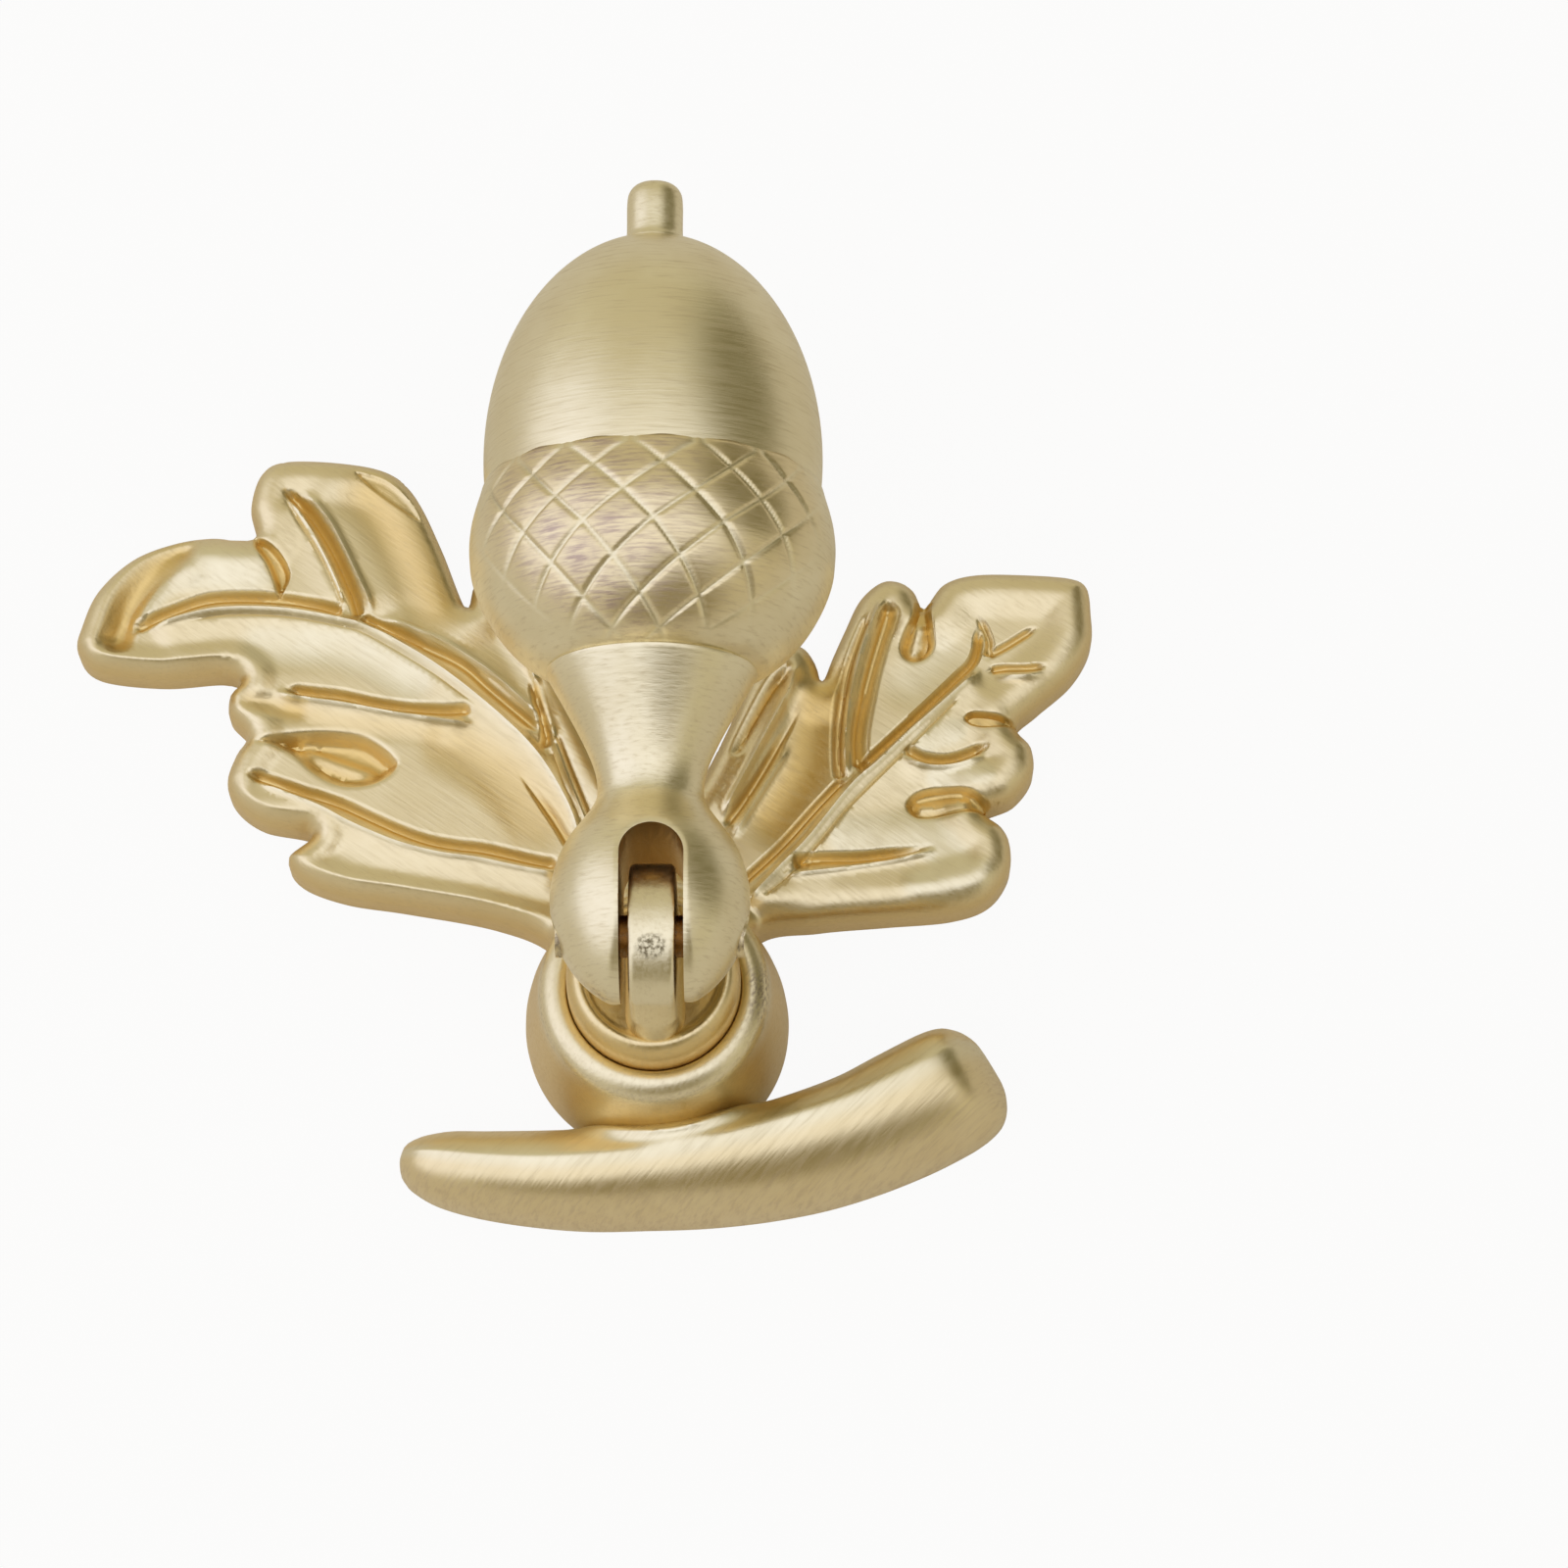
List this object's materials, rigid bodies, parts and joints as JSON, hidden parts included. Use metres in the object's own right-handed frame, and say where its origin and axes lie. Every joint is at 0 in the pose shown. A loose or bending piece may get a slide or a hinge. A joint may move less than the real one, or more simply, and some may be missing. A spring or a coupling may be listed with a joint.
{
  "type": "drop pull",
  "caption": "Brass drop pull: an acorn swinging on a cross pin from a cast backplate of oak leaves, boss and cut twig, in satin gold",
  "frame": {"origin": "centre of the round boss, on the flat back face", "axes": "+Z out of the back face towards the front, X along the hinge pin, +Y towards the hanging acorn's tip"},
  "size_m": [0.0516, 0.0481, 0.0257],
  "materials": {
    "plate_gold": "cast, brushed satin gold plate, darker in the recesses",
    "post_gold": "turned, brushed satin gold plate",
    "pin_gold": "cut and filed ends, gold plate",
    "acorn_gold": "turned and brushed round its axis, satin gold plate, worn on the cup's cells"
  },
  "bodies": {
    "plate": {"leaf_backplate": "plate_gold", "hinge_post": "post_gold"},
    "acorn": {"acorn_pendant": "acorn_gold", "hinge_pin": "pin_gold"}
  },
  "joints": [
    {"name": "acorn_swing", "type": "hinge", "parent": "plate", "child": "acorn", "pos_m": [0, 0, 0.01615], "axis": [1, 0, 0], "range_deg": [-10, 175]}
  ]
}
